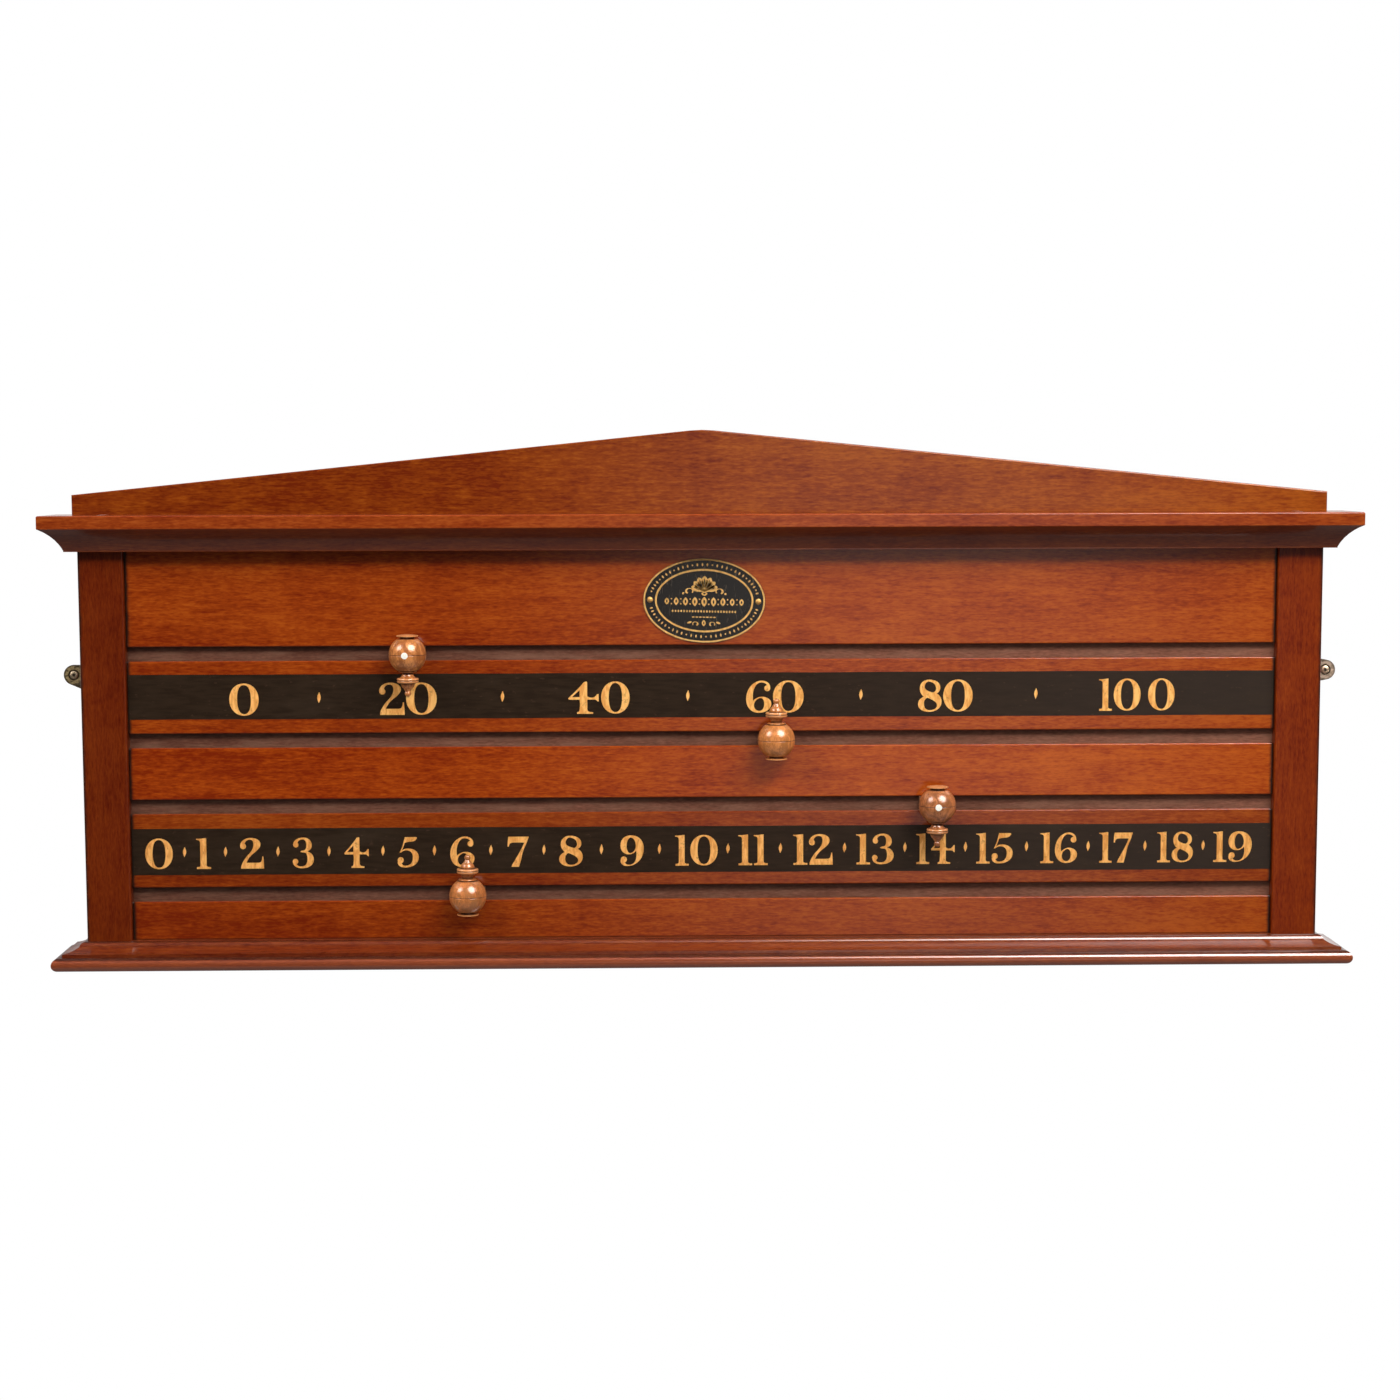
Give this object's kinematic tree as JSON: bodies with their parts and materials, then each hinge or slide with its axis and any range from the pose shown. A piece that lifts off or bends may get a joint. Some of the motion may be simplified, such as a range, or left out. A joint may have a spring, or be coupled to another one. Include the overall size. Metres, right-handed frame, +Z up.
{
  "type": "snooker scoreboard",
  "caption": "Wall-hung wooden cue-sports marker board with a gabled top, moulded cornice and base, two rows of numbers, and turned pointers that slide along slots.",
  "frame": {"origin": "midway between the centres of the two hanging holes, in the plane of the wall behind the board", "axes": "+X to the right of a person facing the board, +Y into the wall, +Z up"},
  "size_m": [0.965, 0.064, 0.3961],
  "materials": {
    "mahogany": "french polished, red-brown",
    "unpolished_mahogany": "thinly finished, dusty",
    "turned_wood": "turned and polished, mid brown",
    "ivory": "polished, cream",
    "black_plate": "black enamel with gilt decoration",
    "aged_brass": "aged",
    "screw_steel": "dulled"
  },
  "bodies": {
    "case": {"left_stile": "mahogany", "right_stile": "mahogany", "base_board": "mahogany", "cap_board": "mahogany", "backboard": "unpolished_mahogany", "top_rail": "mahogany", "hundreds_board": "mahogany", "middle_rail": "mahogany", "units_board": "mahogany", "bottom_rail": "mahogany", "pediment": "mahogany", "cornice_front": "mahogany", "cornice_left": "mahogany", "cornice_right": "mahogany", "base_moulding_front": "mahogany", "base_moulding_left": "mahogany", "base_moulding_right": "mahogany", "hanging_plate_left": "aged_brass", "hanging_plate_right": "aged_brass", "hanging_plate_screws": "aged_brass", "oval_plate": "black_plate", "oval_plate_pins": "aged_brass", "rail_screws": "screw_steel", "cap_screws": "screw_steel", "base_screws": "screw_steel", "pediment_screws": "screw_steel"},
    "hundreds_spot_pointer": {"hundreds_spot_knob": "turned_wood", "hundreds_spot_slider": "unpolished_mahogany", "hundreds_spot_screw": "screw_steel", "hundreds_spot_ivory": "ivory"},
    "hundreds_plain_pointer": {"hundreds_plain_knob": "turned_wood", "hundreds_plain_slider": "unpolished_mahogany", "hundreds_plain_screw": "screw_steel"},
    "units_spot_pointer": {"units_spot_knob": "turned_wood", "units_spot_slider": "unpolished_mahogany", "units_spot_screw": "screw_steel", "units_spot_ivory": "ivory"},
    "units_plain_pointer": {"units_plain_knob": "turned_wood", "units_plain_slider": "unpolished_mahogany", "units_plain_screw": "screw_steel"}
  },
  "joints": [
    {"name": "hundreds_spot_slide", "type": "slide", "parent": "case", "child": "hundreds_spot_pointer", "axis": [1, 0, 0], "range_m": [-0.1956, 0.63]},
    {"name": "hundreds_plain_slide", "type": "slide", "parent": "case", "child": "hundreds_plain_pointer", "axis": [1, 0, 0], "range_m": [-0.4663, 0.3593]},
    {"name": "units_spot_slide", "type": "slide", "parent": "case", "child": "units_spot_pointer", "axis": [1, 0, 0], "range_m": [-0.5856, 0.24]},
    {"name": "units_plain_slide", "type": "slide", "parent": "case", "child": "units_plain_pointer", "axis": [1, 0, 0], "range_m": [-0.2377, 0.5879]}
  ]
}
